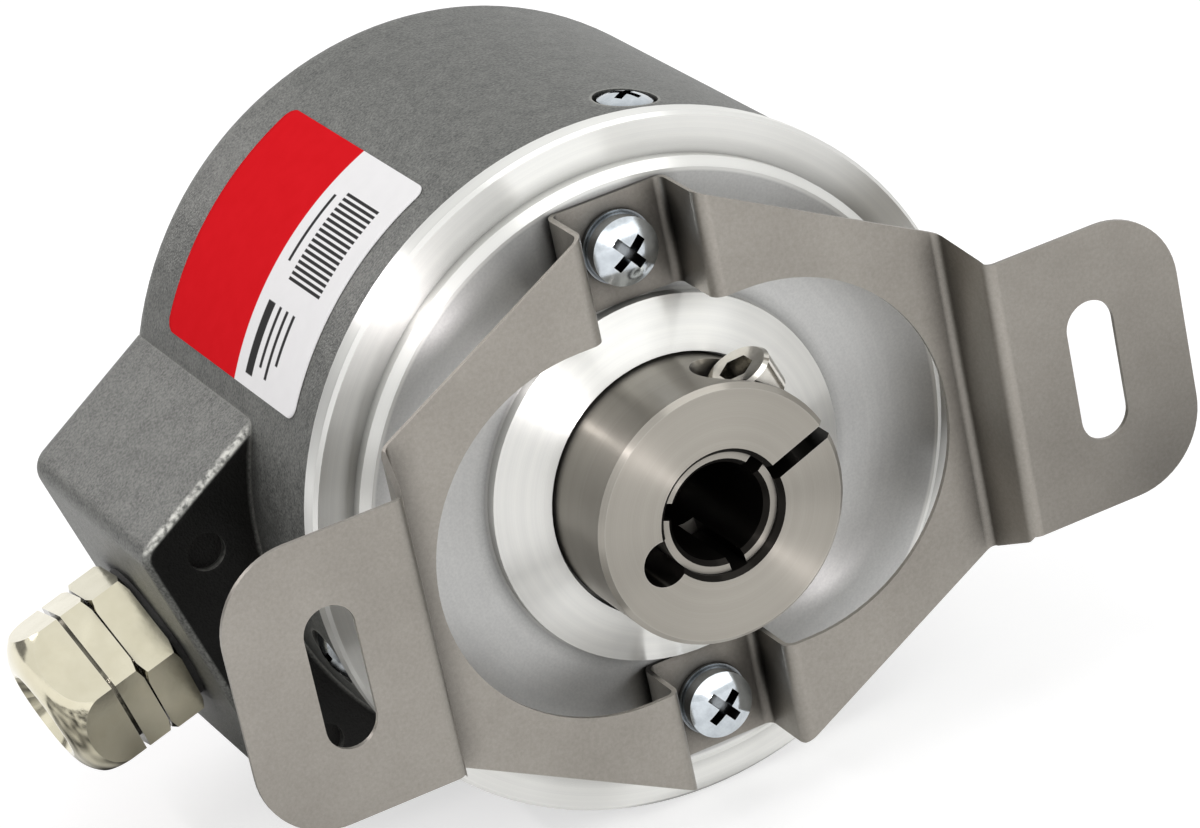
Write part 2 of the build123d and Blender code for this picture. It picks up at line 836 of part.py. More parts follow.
def open_ring(y, inner_radius, outer_radius):
    """Circlip: a flat ring with a gap, which faces up."""
    with BuildPart() as ring:
        with BuildSketch(across(y, 90 - circlip_gap_angle / 2)):
            Circle(outer_radius)
            Circle(inner_radius, mode=Mode.SUBTRACT)
            with BuildLine():
                gap_arc = CenterArc((0, 0), outer_radius + overcut, 0, circlip_gap_angle)
                Polyline(gap_arc @ 1, (0, 0), gap_arc @ 0)
            make_face(mode=Mode.SUBTRACT)
        extrude(amount=-circlip_thickness)
    return ring.part


with BuildPart() as housing_circlip:
    add(
        open_ring(
            circlip_front + running_clearance / 2,
            outer_land_radius - circlip_cover,
            bearing_radius + circlip_groove_depth - running_clearance,
        )
    )

finish(housing_circlip, "housing_circlip")

with BuildPart() as shaft_circlip:
    add(
        open_ring(
            shaft_circlip_front + running_clearance / 2,
            bearing_bore_radius - circlip_groove_depth + running_clearance,
            inner_land_radius + circlip_cover,
        )
    )

finish(shaft_circlip, "shaft_circlip")

# Shaft seal: a rubber ring in the collar's pocket with a lip on the shaft's shoulder

with BuildPart() as shaft_seal:
    with BuildSketch(Plane.XY):
        with BuildLine():
            Polyline(
                (shaft_seal_radius, collar_floor),
                (shoulder_radius + running_clearance, collar_floor),
                (shoulder_radius + running_clearance, collar_floor + shaft_seal_lip),
                (shaft_seal_radius - shaft_seal_shell, seal_back - shaft_seal_shell),
                (shaft_seal_radius - shaft_seal_shell, seal_back),
                (shaft_seal_radius, seal_back),
                close=True,
            )
        make_face()
    revolve(axis=Axis.Y)

finish(shaft_seal, "shaft_seal")

# Code disc on its hub

with BuildPart() as disc_hub:
    with BuildSketch(Plane.XY):
        with BuildLine():
            Polyline(
                (bearing_bore_radius, hub_front),
                (hub_neck_radius - hub_neck_chamfer, hub_front),
                (hub_neck_radius, hub_front + hub_neck_chamfer),
                (hub_neck_radius, hub_flange_front),
                (hub_flange_radius, hub_flange_front),
                (hub_flange_radius, disc_front),
                (hub_spigot_radius, disc_front),
                (hub_spigot_radius, hub_back),
                (bearing_bore_radius, hub_back),
                close=True,
            )
        make_face()
    revolve(axis=Axis.Y)

finish(disc_hub, "disc_hub")

with BuildPart() as code_disc:
    with BuildSketch(across(disc_front)):
        Circle(disc_radius)
        Circle(hub_spigot_radius + seat_clearance, mode=Mode.SUBTRACT)
    extrude(amount=-disc_thickness)

finish(code_disc, "code_disc")

# Emitter block: it stands on the web beside the bearing tube and shines through the disc

emitter_back = disc_front - glass_gap - emitter_lens_rise

with BuildPart() as emitter_holder:
    with BuildSketch(across(web_back, sensor_angle)):
        with Locations((track_radius, 0)):
            Rectangle(emitter_post_depth, emitter_width)
    extrude(amount=-(emitter_back - web_back))
    with BuildSketch(across(web_back, sensor_angle)):
        with Locations((tube_radius + running_clearance, 0)):
            Rectangle(emitter_foot_depth, emitter_foot_width, align=(Align.MIN, Align.CENTER))
    extrude(amount=-emitter_foot_thickness)
    with Locations(rear_facing(web_back + emitter_foot_thickness, sensor_angle)):
        with Locations(*emitter_screw_places):
            Hole(m2_radius + screw_clearance, emitter_foot_thickness)
    with BuildSketch(across(emitter_back, sensor_angle)):
        with Locations((track_radius, 0)):
            Circle(emitter_lens_radius + seat_clearance)
    extrude(amount=emitter_lens_depth, mode=Mode.SUBTRACT)

finish(emitter_holder, "emitter_holder")

with BuildPart() as emitter_led:
    with BuildSketch(across(emitter_back - emitter_lens_depth, sensor_angle)):
        with Locations((track_radius, 0)):
            Circle(emitter_lens_radius)
    extrude(amount=-(emitter_lens_depth + emitter_lens_rise))
    lens_rim = emitter_led.edges().filter_by(GeomType.CIRCLE).group_by(Axis.Y)[-1]
    fillet(lens_rim, emitter_lens_round)

finish(emitter_led, "emitter_led")

emitter_screw = pan_head_screw(m2_radius, m2_length, m2_head_radius, m2_head_height, m2_recess_length)

with BuildPart() as emitter_screws:
    with Locations(rear_facing(web_back + emitter_foot_thickness, sensor_angle)):
        with Locations(*emitter_screw_places):
            add(emitter_screw)

finish(emitter_screws, "emitter_screws")

# Scanning mask and detector behind the disc

with BuildPart() as scanning_mask:
    with BuildSketch(across(mask_front, sensor_angle)):
        with Locations((track_radius, 0)):
            Rectangle(mask_size, mask_size)
    extrude(amount=-mask_thickness)

finish(scanning_mask, "scanning_mask")

with BuildPart() as detector_chip:
    with BuildSketch(across(detector_front, sensor_angle)):
        with Locations((track_radius, 0)):
            Rectangle(detector_height, detector_width)
    extrude(amount=-detector_thickness)

finish(detector_chip, "detector_chip")

# Circuit board on three standoffs

with BuildPart() as circuit_board:
    with BuildSketch(across(board_front, standoff_angle)):
        Circle(board_radius)
        with PolarLocations(standoff_pitch_radius, standoff_count):
            Circle(m25_radius + board_hole_clearance, mode=Mode.SUBTRACT)
    extrude(amount=-board_thickness)

finish(circuit_board, "circuit_board")

with BuildPart() as board_standoffs:
    with BuildSketch(across(web_back, standoff_angle)):
        with PolarLocations(standoff_pitch_radius, standoff_count):
            RegularPolygon(standoff_width / 2, 6, major_radius=False)
    extrude(amount=-(board_front - web_back))
    with BuildSketch(across(web_back, standoff_angle)):
        with PolarLocations(standoff_pitch_radius, standoff_count):
            Circle(m25_radius)
    extrude(amount=standoff_stud_length)
    with BuildSketch(across(board_front, standoff_angle)):
        with PolarLocations(standoff_pitch_radius, standoff_count):
            Circle(m25_radius + screw_clearance)
    extrude(amount=standoff_thread_depth, mode=Mode.SUBTRACT)

finish(board_standoffs, "board_standoffs")

board_screw = pan_head_screw(
    m25_radius, board_screw_length, m25_head_radius, m25_head_height, m25_recess_length
)

with BuildPart() as board_screws:
    with Locations(rear_facing(board_back, standoff_angle)):
        with PolarLocations(standoff_pitch_radius, standoff_count):
            add(board_screw)

finish(board_screws, "board_screws")

with BuildPart() as line_drivers:
    with BuildSketch(across(board_back, driver_angle)):
        with Locations((driver_reach, driver_spacing / 2), (driver_reach, -driver_spacing / 2)):
            Rectangle(driver_length, driver_width)
    extrude(amount=-driver_thickness)

finish(line_drivers, "line_drivers")

with BuildPart() as board_capacitors:
    with BuildSketch(across(board_back, capacitor_angle)):
        with Locations((capacitor_reach, capacitor_spacing / 2), (capacitor_reach, -capacitor_spacing / 2)):
            Circle(capacitor_radius)
    extrude(amount=-capacitor_height)
    can_rims = board_capacitors.edges().filter_by(GeomType.CIRCLE).group_by(Axis.Y)[-1]
    fillet(can_rims, capacitor_rim_round)

finish(board_capacitors, "board_capacitors")

# Terminal block for the cable's wires, beside the boss

terminal_entry_y = board_back + terminal_entry_height

with BuildPart() as terminal_block:
    with BuildSketch(across(board_back, cable_angle)):
        with Locations((terminal_reach, 0)):
            Rectangle(terminal_depth, terminal_length)
    extrude(amount=-terminal_height)
    with BuildSketch(across(board_back + terminal_height, cable_angle)):
        with Locations((terminal_reach, 0)):
            with GridLocations(0, terminal_length / terminal_ways, 1, terminal_ways):
                Circle(terminal_funnel_radius)
    extrude(amount=terminal_screw_depth, mode=Mode.SUBTRACT)
    with BuildSketch(radial(cable_angle, terminal_entry_y, terminal_reach + terminal_depth / 2)):
        with GridLocations(0, terminal_length / terminal_ways, 1, terminal_ways):
            Rectangle(terminal_entry_width, terminal_entry_width)
    extrude(amount=-terminal_entry_depth, mode=Mode.SUBTRACT)

finish(terminal_block, "terminal_block")

# Cable gland, screwed radially into the boss. Its profiles are drawn as (radius, reach from the
# shaft axis), and the hexagons are cut from the turned shapes.

gland_profile_plane = lengthwise(cable_angle, gland_y)
gland_axis = Axis(origin=(0, gland_y, 0), direction=tuple(radial(cable_angle, gland_y).z_dir))
gland_seat = boss_reach + gland_gasket_thickness
gland_collar = gland_seat + gland_body_height
gland_spigot_end = gland_collar + gland_spigot_length
gland_corner_radius = gland_hex_width / sqrt(3)
nut_start = gland_collar + nut_gap
nut_groove = nut_start + nut_skirt_height
nut_end = nut_groove + nut_dome_height
seal_start = gland_collar - gland_seal_collar
seal_end = gland_spigot_end + gland_seal_rise

with BuildPart() as gland_gasket:
    with BuildSketch(radial(cable_angle, gland_y, boss_reach)):
        Circle(gland_gasket_radius)
        Circle(gland_thread_radius + seat_clearance, mode=Mode.SUBTRACT)
    extrude(amount=gland_gasket_thickness)

finish(gland_gasket, "gland_gasket")

with BuildPart() as gland_body:
    with BuildSketch(gland_profile_plane):
        with BuildLine():
            Polyline(
                (gland_throat_radius, gland_seat - gland_shank_length),
                (gland_thread_radius, gland_seat - gland_shank_length),
                (gland_thread_radius, gland_seat),
                (gland_corner_radius - gland_bevel, gland_seat),
                (gland_corner_radius, gland_seat + gland_bevel_height),
                (gland_corner_radius, gland_collar - gland_bevel_height),
                (gland_corner_radius - gland_bevel, gland_collar),
                (gland_spigot_radius, gland_collar),
                (gland_spigot_radius, gland_spigot_end),
                (gland_seal_radius + seat_clearance, gland_spigot_end),
                (gland_seal_radius + seat_clearance, seal_start),
                (gland_throat_radius, seal_start),
                close=True,
            )
        make_face()
    revolve(axis=gland_axis)
    with BuildSketch(radial(cable_angle, gland_y, boss_reach)):
        RegularPolygon(gland_hex_width / 2, 6, major_radius=False, rotation=gland_hex_turn)
    extrude(amount=boss_reach, both=True, mode=Mode.INTERSECT)

finish(gland_body, "gland_body")

with BuildPart() as gland_nut:
    with BuildSketch(gland_profile_plane):
        with BuildLine():
            Polyline(
                (gland_spigot_radius + screw_clearance, nut_start),
                (gland_corner_radius - gland_bevel, nut_start),
                (gland_corner_radius, nut_start + gland_bevel_height),
                (gland_corner_radius, nut_groove - nut_groove_width),
                (gland_hex_width / 2 - nut_groove_depth, nut_groove - nut_groove_width),
                (gland_hex_width / 2 - nut_groove_depth, nut_groove),
                (gland_corner_radius, nut_groove),
                (gland_corner_radius, nut_groove + nut_dome_straight),
            )
            ThreePointArc(
                (gland_corner_radius, nut_groove + nut_dome_straight),
                (
                    (gland_corner_radius + nut_face_radius) / 2 + nut_dome_bulge,
                    (nut_groove + nut_dome_straight + nut_end) / 2 + nut_dome_bulge,
                ),
                (nut_face_radius, nut_end),
            )
            Polyline(
                (nut_face_radius, nut_end),
                (nut_mouth_radius + nut_mouth_chamfer, nut_end),
                (nut_mouth_radius, nut_end - nut_mouth_chamfer),
                (nut_mouth_radius, seal_end),
                (gland_spigot_radius + screw_clearance, seal_end),
                (gland_spigot_radius + screw_clearance, nut_start),
            )
        make_face()
    revolve(axis=gland_axis)
    with BuildSketch(radial(cable_angle, gland_y, boss_reach)):
        RegularPolygon(gland_hex_width / 2, 6, major_radius=False, rotation=gland_hex_turn + nut_hex_turn)
    extrude(amount=boss_reach, both=True, mode=Mode.INTERSECT)

finish(gland_nut, "gland_nut")

with BuildPart() as gland_seal:
    with BuildSketch(radial(cable_angle, gland_y, seal_start)):
        Circle(gland_seal_radius)
        Circle(gland_seal_bore_radius, mode=Mode.SUBTRACT)
    extrude(amount=seal_end - seal_start)

finish(gland_seal, "gland_seal")
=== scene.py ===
"""The finished look of a hollow-shaft encoder: finishes for its machined, cast, rolled and plated parts,
the adhesive label on its cup, and a pale studio floor seen from the photograph's side."""
from math import cos, pi, radians, sin

import bpy
import numpy as np
from mathutils import Matrix, Vector


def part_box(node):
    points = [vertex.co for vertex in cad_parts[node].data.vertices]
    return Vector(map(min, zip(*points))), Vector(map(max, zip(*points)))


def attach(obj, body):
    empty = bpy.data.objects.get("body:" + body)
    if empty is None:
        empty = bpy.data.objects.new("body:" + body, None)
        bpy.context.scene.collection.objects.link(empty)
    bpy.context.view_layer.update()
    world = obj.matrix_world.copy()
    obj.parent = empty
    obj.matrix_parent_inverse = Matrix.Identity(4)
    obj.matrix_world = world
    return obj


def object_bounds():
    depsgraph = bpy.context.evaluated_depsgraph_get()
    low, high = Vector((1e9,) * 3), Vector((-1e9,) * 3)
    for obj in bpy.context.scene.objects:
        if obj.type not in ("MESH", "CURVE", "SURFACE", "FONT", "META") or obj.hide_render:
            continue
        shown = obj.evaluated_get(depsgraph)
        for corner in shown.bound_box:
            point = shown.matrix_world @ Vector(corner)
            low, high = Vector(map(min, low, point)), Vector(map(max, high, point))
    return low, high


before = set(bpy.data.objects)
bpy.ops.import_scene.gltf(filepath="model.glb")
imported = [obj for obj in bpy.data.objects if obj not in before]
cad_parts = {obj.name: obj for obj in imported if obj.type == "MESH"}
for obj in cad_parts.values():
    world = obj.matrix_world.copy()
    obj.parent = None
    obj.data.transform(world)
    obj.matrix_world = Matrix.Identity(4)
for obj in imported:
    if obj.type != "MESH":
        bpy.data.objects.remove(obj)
cad_low, cad_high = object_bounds()

# The label on the cup, in degrees round the cup and in metres: its ends, where its two fields meet,
# its corners, film and glue, and the rows and columns of its grid
LABEL_TOP = 112.8
LABEL_BOTTOM = 155.0
LABEL_FRONT = 0.0060
LABEL_REAR = 0.0317
LABEL_FIELD_EDGE = 0.0176
LABEL_CORNER = 0.0011
LABEL_THICKNESS = 0.00008
LABEL_GLUE = 0.00002
LABEL_ROWS = 72
LABEL_COLUMNS = 48

# The printed field of evenly pitched bars: where it lies round the cup and along it, as shares of the
# label, and how many bars it holds
BARS_ROUND = (0.16, 0.56)
BARS_ALONG = (0.10, 0.33)
BAR_COUNT = 17.0
# Plain printed rules: low and high along the cup, start and end round it
RULES = ((0.335, 0.385, 0.66, 0.95),
         (0.285, 0.303, 0.66, 0.90),
         (0.235, 0.253, 0.66, 0.93),
         (0.185, 0.203, 0.66, 0.86),
         (0.375, 0.392, 0.20, 0.50))

# Lathe work runs round Y, so the way along a profile is the radius plus this share of y
AXIAL_SHARE = 0.83

# The ring on the flange's front face that gets painted shade, from radius to radius, and how softly it ends
FLANGE_FACE = (0.0152, 0.0248)
FACE_SOFTNESS = 0.0002

# The front of the cable boss on the cast cup, each as the places where a mask starts and is full:
# outside the cup's wall, behind the cup's front, ahead of the boss's body, and on its front lip
BOSS_OUTSIDE = (0.0288, 0.0291)
BOSS_PAST_FRONT = (0.0100, 0.0105)
BOSS_AHEAD = (0.0152, 0.0144)
BOSS_LIP = (0.0139, 0.0136)

# The code disc's ring of lines: its pairs, and where it starts and ends as a radius
LINE_PAIRS = 256.0
TRACK_START = (0.01325, 0.0133)
TRACK_END = (0.0155, 0.01545)

# How many cells of the circuit board's track pattern fill a metre
TRACK_CELLS = 340.0

# Studio: the floor's half size and how far it lies under the part, and cards a little above the floor
FLOOR_HALF = 3.0
FLOOR_GAP = 0.0001
CARD_LIFT = 0.0005
# Narrow lights on one arc: name, angle on the arc in degrees, length, width and radiance
STRIPS = (("front_strip", 81.0, 0.24, 0.016, 100.0),
          ("side_strip", 2.0, 0.60, 0.04, 18.0),
          ("rear_strip", -50.0, 0.40, 0.20, 4.0))
STRIP_DISTANCE = 0.9
STRIP_TINT = (1.0, 0.95, 0.97)
# Where that arc starts, out to the side of the shaft, and where it is at 90 degrees
ARC_SIDE = Vector((-0.643, 0.0, 0.766))
FORWARD = Vector((0.0, -1.0, 0.0))

FLOAT = "NodeSocketFloat"
VECTOR = "NodeSocketVector"


# Small helpers for node trees

def paint(red, green, blue):
    """A colour as linear light, from its 0 to 255 screen values."""
    screen = np.array([red, green, blue]) / 255.0
    linear = np.where(screen <= 0.04045, screen / 12.92, ((screen + 0.055) / 1.055) ** 2.4)
    return (*[float(part) for part in linear], 1.0)


def feed(tree, node, values):
    """Joins each value to the node's input of that name or number, or sets it there if it is plain."""
    for key, value in values.items():
        if isinstance(value, bpy.types.NodeSocket):
            tree.links.new(value, node.inputs[key])
        else:
            node.inputs[key].default_value = value
    return node


def add(tree, kind, values=None, **settings):
    """A new shader node with its settings and inputs."""
    node = tree.nodes.new("ShaderNode" + kind)
    for name, value in settings.items():
        setattr(node, name, value)
    return feed(tree, node, values or {})


def calc(tree, operation, first, second=0.0, third=0.0, clamp=False):
    """One step of arithmetic."""
    node = add(tree, "Math", {0: first, 1: second, 2: third}, operation=operation, use_clamp=clamp)
    return node.outputs[0]


def vec(tree, operation, first, second=(0.0, 0.0, 0.0), scale=1.0):
    """One step of vector arithmetic."""
    node = add(tree, "VectorMath", {0: first, 1: second, 3: scale}, operation=operation)
    return node.outputs["Value" if operation in ("LENGTH", "DOT_PRODUCT") else "Vector"]


def centred(tree, value):
    """A 0 to 1 value spread to -1 to 1."""
    return calc(tree, "MULTIPLY_ADD", value, 2.0, -1.0)


def ramp(tree, value, low, high, start=0.0, end=1.0):
    """Runs from start at low to end at high, and stays level beyond them."""
    node = add(tree, "MapRange", {0: value, 1: low, 2: high, 3: start, 4: end}, clamp=True)
    return node.outputs[0]


def blend(tree, share, first, second):
    """first at share 0, second at share 1, in colour."""
    return add(tree, "Mix", {0: share, 6: first, 7: second}, data_type="RGBA").outputs[2]


def noise(tree, place, size, detail=2.0, roughness=0.5):
    """Cloudy noise from 0 to 1 with blotches of about this size in metres."""
    values = {"Vector": place, "Scale": 1.0 / size, "Detail": detail, "Roughness": roughness}
    return add(tree, "TexNoise", values).outputs[0]


def object_place(tree):
    """Where the point lies on its piece, in metres."""
    return add(tree, "TexCoord").outputs["Object"]


def from_the_axis(tree):
    """The way straight out from the shaft axis to the point, on the piece."""
    return vec(tree, "MULTIPLY", object_place(tree), (1.0, 0.0, 1.0))


def axis_distance(tree):
    """How far the point lies from the shaft axis, in metres."""
    return vec(tree, "LENGTH", from_the_axis(tree))


def round_the_axis(tree):
    """The direction out from the shaft axis and the direction round it."""
    outward = vec(tree, "NORMALIZE", from_the_axis(tree))
    return outward, vec(tree, "CROSS_PRODUCT", outward, (0.0, 1.0, 0.0))


def along_profile(tree, round_axis):
    """The normal, and the direction along the turned profile: normal x the direction round the axis."""
    hoop = add(tree, "VectorTransform", {0: round_axis}, vector_type="VECTOR", convert_from="OBJECT",
               convert_to="WORLD").outputs[0]
    normal = add(tree, "NewGeometry").outputs["Normal"]
    return normal, vec(tree, "NORMALIZE", vec(tree, "CROSS_PRODUCT", normal, hoop))


def new_effect(name, takes, gives):
    """An empty shader group with its inputs and outputs."""
    tree = bpy.data.node_groups.new(name, "ShaderNodeTree")
    for label, value in takes:
        socket = tree.interface.new_socket(label, in_out="INPUT", socket_type=FLOAT)
        socket.default_value = value
    for label, kind in gives:
        tree.interface.new_socket(label, in_out="OUTPUT", socket_type=kind)
    given = tree.nodes.new("NodeGroupInput").outputs
    result = tree.nodes.new("NodeGroupOutput")
    return tree, given, result


def use(tree, effect, values):
    """The outputs of a shared effect with this finish's own values."""
    node = tree.nodes.new("ShaderNodeGroup")
    node.node_tree = effect
    return feed(tree, node, values).outputs


# Shared effects

def make_lathe_grooves():
    """Fine grooves turned round the shaft axis. The way along the profile is s = radius + AXIAL_SHARE y.
    One noise of s / Pitch and one of s / Band pitch lean the normal along the profile, in the
    direction normal x hoop, where hoop runs round the axis. Inside is 1 on bore walls, whose normal
    points at the axis, and on the walls of cuts along it, whose normal lies along hoop."""
    takes = [("Pitch", 0.0001), ("Lean", 0.15), ("Band pitch", 0.0008), ("Band lean", 0.03)]
    gives = [("Normal", VECTOR), ("Tone", FLOAT), ("Inside", FLOAT)]
    tree, given, result = new_effect("lathe_grooves", takes, gives)
    outward, round_axis = round_the_axis(tree)
    along_axis = vec(tree, "DOT_PRODUCT", object_place(tree), (0.0, AXIAL_SHARE, 0.0))
    way = calc(tree, "ADD", axis_distance(tree), along_axis)
    lines = {"Detail": 2.0, "Roughness": 0.6, "Scale": 1.0}
    fine = add(tree, "TexNoise", {**lines, "W": calc(tree, "DIVIDE", way, given["Pitch"])},
               noise_dimensions="1D").outputs[0]
    broad = add(tree, "TexNoise", {**lines, "W": calc(tree, "DIVIDE", way, given["Band pitch"])},
                noise_dimensions="1D").outputs[0]
    fine_lean = calc(tree, "MULTIPLY", centred(tree, fine), given["Lean"])
    lean = calc(tree, "MULTIPLY_ADD", centred(tree, broad), given["Band lean"], fine_lean)
    own_normal = add(tree, "TexCoord").outputs["Normal"]
    bore = ramp(tree, vec(tree, "DOT_PRODUCT", own_normal, outward), -0.45, -0.7)
    cut = ramp(tree, calc(tree, "ABSOLUTE", vec(tree, "DOT_PRODUCT", own_normal, round_axis)), 0.6, 0.85)
    normal, slope = along_profile(tree, round_axis)
    leaned = vec(tree, "ADD", normal, vec(tree, "SCALE", slope, scale=lean))
    tone = calc(tree, "MULTIPLY_ADD", fine, 0.5, calc(tree, "MULTIPLY", broad, 0.5))
    feed(tree, result, {"Normal": vec(tree, "NORMALIZE", leaned), "Tone": tone,
                        "Inside": calc(tree, "MAXIMUM", bore, cut)})
    return tree


def make_blasted_skin():
    """A shot-blasted casting: close dimples from cell distance and noise, with cloudy patches of tone."""
    takes = [("Grain", 0.0004), ("Patch", 0.004)]
    tree, given, result = new_effect("blasted_skin", takes, [("Height", FLOAT), ("Tone", FLOAT)])
    place = object_place(tree)
    per_grain = calc(tree, "DIVIDE", 1.0, given["Grain"])
    per_patch = calc(tree, "DIVIDE", 1.0, given["Patch"])
    grain = add(tree, "TexNoise", {"Vector": place, "Scale": per_grain, "Detail": 3.0,
                                   "Roughness": 0.65}).outputs[0]
    cells = add(tree, "TexVoronoi", {"Vector": place, "Scale": per_grain}).outputs["Distance"]
    patches = add(tree, "TexNoise", {"Vector": place, "Scale": per_patch, "Detail": 4.0,
                                     "Roughness": 0.6}).outputs[0]
    height = calc(tree, "MULTIPLY_ADD", cells, 0.45, grain)
    tone = calc(tree, "MULTIPLY_ADD", grain, 0.76, calc(tree, "MULTIPLY", patches, 0.24))
    feed(tree, result, {"Height": height, "Tone": tone})
    return tree


def make_rolled_grain():
    """Cold-rolled sheet: short streaks along X, from noise stretched that way, over a fine speckle."""
    takes = [("Streak", 0.0002), ("Speckle", 0.00035)]
    tree, given, result = new_effect("rolled_grain", takes, [("Height", FLOAT), ("Tone", FLOAT)])
    place = object_place(tree)
    drawn = vec(tree, "MULTIPLY", place, (0.16, 1.0, 1.0))
    streaks = add(tree, "TexNoise", {"Vector": drawn, "Scale": calc(tree, "DIVIDE", 1.0, given["Streak"]),
                                     "Detail": 2.0, "Roughness": 0.55}).outputs[0]
    speckle = add(tree, "TexNoise", {"Vector": place, "Scale": calc(tree, "DIVIDE", 1.0, given["Speckle"]),
                                     "Detail": 3.0, "Roughness": 0.7}).outputs[0]
    clouds = noise(tree, place, 0.009, 3.0)
    tone = calc(tree, "MULTIPLY_ADD", speckle, 0.5, calc(tree, "MULTIPLY", clouds, 0.5))
    height = calc(tree, "MULTIPLY_ADD", streaks, 0.6, calc(tree, "MULTIPLY", speckle, 0.4))
    feed(tree, result, {"Height": height, "Tone": tone})
    return tree


def make_bright_edges():
    """Where a rounded normal differs from the true one, the edge is rubbed bright: 1 there, 0 on the flat."""
    tree, given, result = new_effect("bright_edges", [("Reach", 0.0003), ("Gain", 2.5)], [("Mask", FLOAT)])
    rounded = add(tree, "Bevel", {"Radius": given["Reach"]}, samples=4).outputs["Normal"]
    normal = add(tree, "NewGeometry").outputs["Normal"]
    turn = calc(tree, "SUBTRACT", 1.0, vec(tree, "DOT_PRODUCT", rounded, normal))
    feed(tree, result, {"Mask": calc(tree, "MULTIPLY", turn, given["Gain"], clamp=True)})
    return tree


def make_handled_film():
    """Faint smears and handling marks: distorted cloudy noise of about Size, from 0 to 1."""
    tree, given, result = new_effect("handled_film", [("Size", 0.006)], [("Smear", FLOAT)])
    place = object_place(tree)
    broad = add(tree, "TexNoise", {"Vector": place, "Scale": calc(tree, "DIVIDE", 1.0, given["Size"]),
                                   "Detail": 3.0, "Distortion": 0.6}).outputs[0]
    feed(tree, result, {"Smear": ramp(tree, broad, 0.32, 0.68)})
    return tree


def make_painted_crevice_shade():
    """Painted shade in corners and crevices: 1 where nearby surfaces close in, 0 in the open."""
    takes = [("Reach", 0.0015), ("Gain", 1.6)]
    tree, given, result = new_effect("painted_crevice_shade", takes, [("Mask", FLOAT)])
    open_share = add(tree, "AmbientOcclusion", {"Distance": given["Reach"]}, samples=6).outputs["AO"]
    closed = calc(tree, "SUBTRACT", 1.0, open_share)
    feed(tree, result, {"Mask": calc(tree, "MULTIPLY", closed, given["Gain"], clamp=True)})
    return tree


lathe_grooves = make_lathe_grooves()
blasted_skin = make_blasted_skin()
rolled_grain = make_rolled_grain()
bright_edges = make_bright_edges()
handled_film = make_handled_film()
painted_crevice_shade = make_painted_crevice_shade()


# Finishes

def start_finish(name, values):
    """A material with one Principled shader, whose constants are set on its sockets."""
    material = bpy.data.materials.new(name)
    material.use_nodes = True
    tree = material.node_tree
    tree.nodes.clear()
    shader = add(tree, "BsdfPrincipled", values)
    ending = add(tree, "OutputMaterial")
    tree.links.new(shader.outputs[0], ending.inputs[0])
    return material, tree, shader


def around(tree, tone, middle, spread):
    """A value near middle that follows a 0 to 1 tone by up to spread each way."""
    return calc(tree, "MULTIPLY_ADD", centred(tree, tone), spread, middle, clamp=True)


def shaded_in_crevices(tree, colour, amount, reach=0.0015, gain=1.6):
    """The colour with painted shade, darkened by amount in corners and crevices."""
    closed = use(tree, painted_crevice_shade, {"Reach": reach, "Gain": gain})["Mask"]
    return blend(tree, calc(tree, "MULTIPLY", closed, amount), colour, (0.012, 0.011, 0.010, 1.0))


def turned_metal(name, dark, light, roughness, lean, band_lean, pitch=0.00006, band_pitch=0.0007,
                 inside=0.0, soil=0.5, drawn_out=0.85, shaded_ring=None):
    """Machined on a lathe round the shaft axis, with small bright edges. Bores and cuts get painted shade,
    near black. Reflections are drawn out along the turned profile, across the grooves. A pair of radii,
    when given, marks a ring of the face square to the axis that gets painted shade: a little darker, with a
    fine speckle."""
    material, tree, shader = start_finish(name, {"Metallic": 1.0, "Anisotropic": drawn_out})
    feed(tree, shader, {"Tangent": along_profile(tree, round_the_axis(tree)[1])[1]})
    grooves = use(tree, lathe_grooves, {"Pitch": pitch, "Lean": lean, "Band pitch": band_pitch,
                                        "Band lean": band_lean})
    smear = use(tree, handled_film, {"Size": 0.007})["Smear"]
    edges = use(tree, bright_edges, {"Reach": 0.00018, "Gain": 1.2})["Mask"]
    colour = blend(tree, ramp(tree, grooves["Tone"], 0.3, 0.7), dark, light)
    colour = blend(tree, calc(tree, "MULTIPLY", edges, 0.4), colour, (0.85, 0.84, 0.81, 1.0))
    # Painted shade in bores and cuts: darkened towards near black.
    shade = calc(tree, "MULTIPLY", grooves["Inside"], inside)
    colour = blend(tree, shade, colour, (0.01, 0.009, 0.008, 1.0))
    # Painted shade: a ring of the face square to the axis, a little darker with a fine speckle.
    if shaded_ring:
        reach = axis_distance(tree)
        ring = calc(tree, "MULTIPLY", ramp(tree, reach, shaded_ring[0], shaded_ring[0] + FACE_SOFTNESS),
                    ramp(tree, reach, shaded_ring[1], shaded_ring[1] - FACE_SOFTNESS))
        own_normal = add(tree, "SeparateXYZ", {0: add(tree, "TexCoord").outputs["Normal"]})
        facing = ramp(tree, own_normal.outputs[1], -0.95, -0.99)
        speckle = ramp(tree, noise(tree, object_place(tree), 0.0002, 2.0), 0.3, 0.7, 0.36, 0.46)
        share = calc(tree, "MULTIPLY", calc(tree, "MULTIPLY", ring, facing), speckle)
        colour = blend(tree, share, colour, paint(118, 119, 124))
    # Painted shade in corners and crevices.
    colour = shaded_in_crevices(tree, colour, soil)
    rough = around(tree, smear, roughness, 0.015)
    feed(tree, shader, {"Base Color": colour, "Roughness": rough, "Normal": grooves["Normal"]})
    return material


